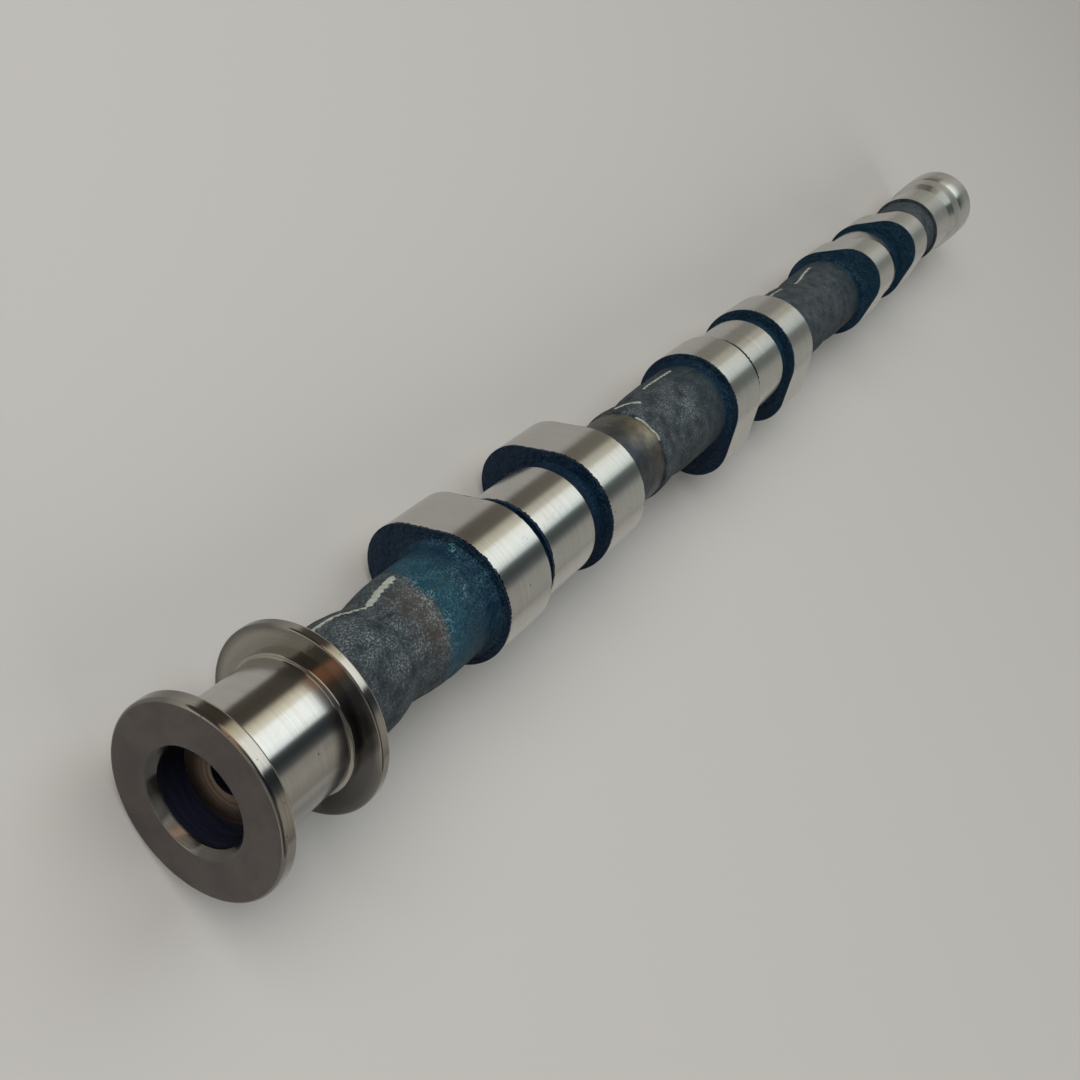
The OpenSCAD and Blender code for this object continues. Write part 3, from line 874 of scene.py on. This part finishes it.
# Floor: it dips towards the tail, as the shaft does when it lies on its flanges and its raised end
floorSizes = {"size": 8.0, "dip": 0.00907, "middleX": 200, "touchX": 24.2, "touchZ": -16.9, "colour": "#b9b7b3",
              "rough": 0.85}
bpy.ops.mesh.primitive_plane_add(size=floorSizes["size"])
floor = bpy.context.object
floor.name = "floor"
floorZ = floorSizes["touchZ"] + floorSizes["dip"] * (floorSizes["middleX"] - floorSizes["touchX"])
floor.data.transform(Matrix.Translation((floorSizes["middleX"] * mm, 0, floorZ * mm))
                     @ Matrix.Rotation(-math.atan(floorSizes["dip"]), 4, "Y"))
floorMaterial, tree = newMaterial("Pale matt floor")
shader = addNode(tree, "BsdfPrincipled", {"Base Color": paint(floorSizes["colour"]),
                                          "Roughness": floorSizes["rough"]})
addNode(tree, "OutputMaterial", {"Surface": shader})
floor.data.materials.append(floorMaterial)

# Studio light. The room is a soft tunnel along the shaft: a long white window overhead, a cream wall
# beside it and dark ceiling and wall between. Stops are (degrees up from +Y, colour), seen near the
# nose, further back, and from the tail, where everything evens out. At the nose's end it is dark: plain
# at the side, with a warm lamp in front, and paler again further behind. blends gives the share of the
# direction along +X between which one view gives way to the next.
roomLight = {
    "near": ((0, "#3c3832"), (36, "#342f29"), (40, "#9a9382"), (50, "#cdc7b4"), (57, "#dad7ca"), (61, "#f6fbfa"),
             (84, "#fbffff"), (95, "#e2eced"), (99, "#212427"), (114, "#22262a"), (124, "#3f4041"),
             (131, "#7d7a74"), (150, "#84807a"), (180, "#6a6661")),
    "middle": ((0, "#5d5951"), (34, "#5f5b53"), (40, "#a29f93"), (54, "#b1aea2"), (60, "#e3e5dd"), (74, "#eaf1f0"),
               (86, "#e0e9e7"), (94, "#b7c4c2"), (99, "#424f50"), (115, "#3a4041"), (123, "#565a5a"),
               (132, "#878884"), (165, "#8a8b87"), (180, "#858682")),
    "far": ((0, "#8a8b84"), (31, "#83847d"), (51, "#83837c"), (71, "#7c7b75"), (91, "#6a6a66"), (108, "#747570"),
            (130, "#797a75"), (160, "#83847f"), (180, "#858680")),
    "side": ((0, "#3a3836"), (17, "#42403c"), (36, "#2a2a2e"), (42, "#8b8782"), (60, "#777470"), (70, "#42403f"),
             (80, "#262628"), (100, "#1c1d26"), (116, "#1c1d26"), (130, "#3f3c3c"), (180, "#3a3a3b")),
    "front": ((0, "#2f2c2a"), (17, "#38352f"), (36, "#191c28"), (42, "#b0795a"), (60, "#986849"), (70, "#4a3b35"),
              (80, "#232227"), (100, "#151729"), (116, "#151729"), (130, "#3f3b3b"), (180, "#393a3a")),
    "behind": ((0, "#6b6a66"), (38, "#6f6a62"), (44, "#9a8678"), (58, "#877468"), (66, "#6f6b66"), (85, "#7c7d7d"),
               (100, "#47484d"), (125, "#62615f"), (180, "#6b6a66")),
    "blends": (("middle", 0.6, 0.79), ("far", 0.8, 0.94), ("side", 0.1, -0.1), ("front", -0.3, -0.42),
               ("behind", -0.64, -0.7)),
    "strength": 1.7, "backdrop": "#e9e7e3"}

room = bpy.data.worlds.new("soft_studio")
bpy.context.scene.world = room
room.use_nodes = True
tree = room.node_tree
tree.nodes.clear()
direction = addNode(tree, "TexCoord").outputs["Generated"]
parts = addNode(tree, "SeparateXYZ", {"Vector": direction})
turn = addNode(tree, "Math", {0: parts.outputs["Z"], 1: parts.outputs["Y"]}, operation="ARCTAN2")
turn = addNode(tree, "Math", {0: turn, 1: 1 / math.pi}, operation="MULTIPLY")
views = {name: addNode(tree, "ValToRGB", {"Fac": turn}, [(up / 180, hue) for up, hue in roomLight[name]])
         for name in ("near", "middle", "far", "side", "front", "behind")}
light = views["near"]
for name, start, end in roomLight["blends"]:
    share = addNode(tree, "MapRange", {"Value": parts.outputs["X"], "From Min": start, "From Max": end})
    light = addNode(tree, "Mix", {"Factor": share, "A": light, "B": views[name]}, data_type="RGBA")
lit = addNode(tree, "Background", {"Color": light, "Strength": roomLight["strength"]})
seen = addNode(tree, "Background", {"Color": paint(roomLight["backdrop"])})
rays = addNode(tree, "LightPath")
surface = addNode(tree, "MixShader", {0: rays.outputs["Is Camera Ray"], 1: lit, 2: seen})
addNode(tree, "OutputWorld", {"Surface": surface})

# A broad soft lamp in front and to the left brings the floor and the dull surfaces up to a plain level,
# and a weaker one lights the shaft's other side. Sizes and places are metres.
fillSizes = {"front_left": {"size": 1.4, "place": (-0.75, 0.75, 1.2), "strength": 4.6},
             "right": {"size": 1.2, "place": (0.25, -1.1, 0.7), "strength": 1.2}}
aim = Vector((0.2, 0, 0))
for name, sizes in fillSizes.items():
    lamp = bpy.data.lights.new(name, "AREA")
    lamp.shape = "DISK"
    lamp.size = sizes["size"]
    lamp.energy = sizes["strength"] * math.pi * math.pi * (sizes["size"] / 2) ** 2
    fill = bpy.data.objects.new(name, lamp)
    bpy.context.scene.collection.objects.link(fill)
    fill.location = sizes["place"]
    fill.rotation_euler = (Vector(sizes["place"]) - aim).to_track_quat("Z", "Y").to_euler()
    fill.visible_camera = fill.visible_glossy = False

cameraSizes = {"place": (-106.72, 33.35, 170.28), "turn": (34.095, -45.686, -45.352), "lens": 43.557,
               "shift": (-0.02184, -0.16328)}
cameraData = bpy.data.cameras.new("camera")
cameraData.sensor_width = 36
cameraData.lens = cameraSizes["lens"]
cameraData.shift_x, cameraData.shift_y = cameraSizes["shift"]
cameraData.clip_start = 0.01
camera = bpy.data.objects.new("camera", cameraData)
camera.location = Vector(cameraSizes["place"]) * mm
camera.rotation_euler = Euler([math.radians(a) for a in cameraSizes["turn"]])
bpy.context.scene.collection.objects.link(camera)
bpy.context.scene.camera = camera
bpy.context.scene.view_settings.view_transform = "Standard"
print("floor, light and camera set")
